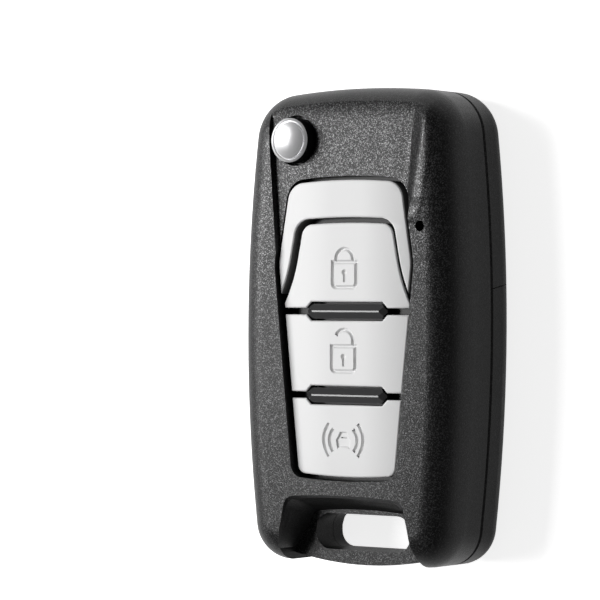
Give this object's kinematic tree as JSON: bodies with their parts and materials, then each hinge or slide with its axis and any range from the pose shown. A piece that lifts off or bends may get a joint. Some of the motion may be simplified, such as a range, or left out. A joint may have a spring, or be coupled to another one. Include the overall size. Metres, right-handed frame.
{
  "type": "flip key remote shell",
  "caption": "Folded flip key remote shell with a silver keypad, a chrome release button, a fold-out blade and a keyring slot.",
  "frame": {"origin": "under the middle of the case, on the back face that it lies on", "axes": "+X right as seen from the buttons, +Y along the key towards the chrome release button, +Z out of the button face"},
  "size_m": [0.0412, 0.0741, 0.0186],
  "materials": {
    "case_plastic": "black, fine sparkle texture, satin",
    "silver_key": "silver-grey satin paint on moulded plastic",
    "gloss_black": "glossy black",
    "black_rubber": "matte silicone rubber",
    "inner_plastic": "plain moulded black",
    "chrome_cap": "polished chrome plate",
    "machined_steel": "turned steel",
    "screw_steel": "zinc-plated steel",
    "hub_alloy": "die-cast metal, nickel plated",
    "blade_steel": "nickel-plated key blank",
    "spring_steel": "spring steel"
  },
  "bodies": {
    "case": {"front_housing": "case_plastic", "rear_housing": "case_plastic", "battery_cover": "case_plastic", "arch_trim": "silver_key", "keypad_bezel": "gloss_black", "keypad_membrane": "black_rubber", "board_frame": "inner_plastic", "transponder_holder": "inner_plastic", "pivot_washer": "machined_steel", "case_screws": "screw_steel"},
    "blade_unit": {"blade_hub": "hub_alloy", "key_blade": "blade_steel", "blade_roll_pin": "spring_steel", "torsion_spring": "spring_steel"},
    "release_unit": {"release_button": "chrome_cap", "release_stem": "machined_steel", "stem_screw": "screw_steel"},
    "lock_key": {"lock_button": "silver_key"},
    "unlock_key": {"unlock_button": "silver_key"},
    "alarm_key": {"alarm_button": "silver_key"}
  },
  "joints": [
    {"name": "blade_flip", "type": "hinge", "parent": "case", "child": "blade_unit", "pos_m": [-0.0098, 0.029, 0.0071], "axis": [0, 0, -1], "range_deg": [0, 180]},
    {"name": "release_press", "type": "slide", "parent": "blade_unit", "child": "release_unit", "axis": [0, 0, -1], "range_m": [0, 0.0015], "stiffness_N_per_m": 2000, "springref_m": -0.001},
    {"name": "lock_press", "type": "slide", "parent": "case", "child": "lock_key", "axis": [0, 0, -1], "range_m": [0, 0.0005], "stiffness_N_per_m": 2000, "springref_m": -0.0005},
    {"name": "unlock_press", "type": "slide", "parent": "case", "child": "unlock_key", "axis": [0, 0, -1], "range_m": [0, 0.0005], "stiffness_N_per_m": 2000, "springref_m": -0.0005},
    {"name": "alarm_press", "type": "slide", "parent": "case", "child": "alarm_key", "axis": [0, 0, -1], "range_m": [0, 0.0005], "stiffness_N_per_m": 2000, "springref_m": -0.0005}
  ]
}
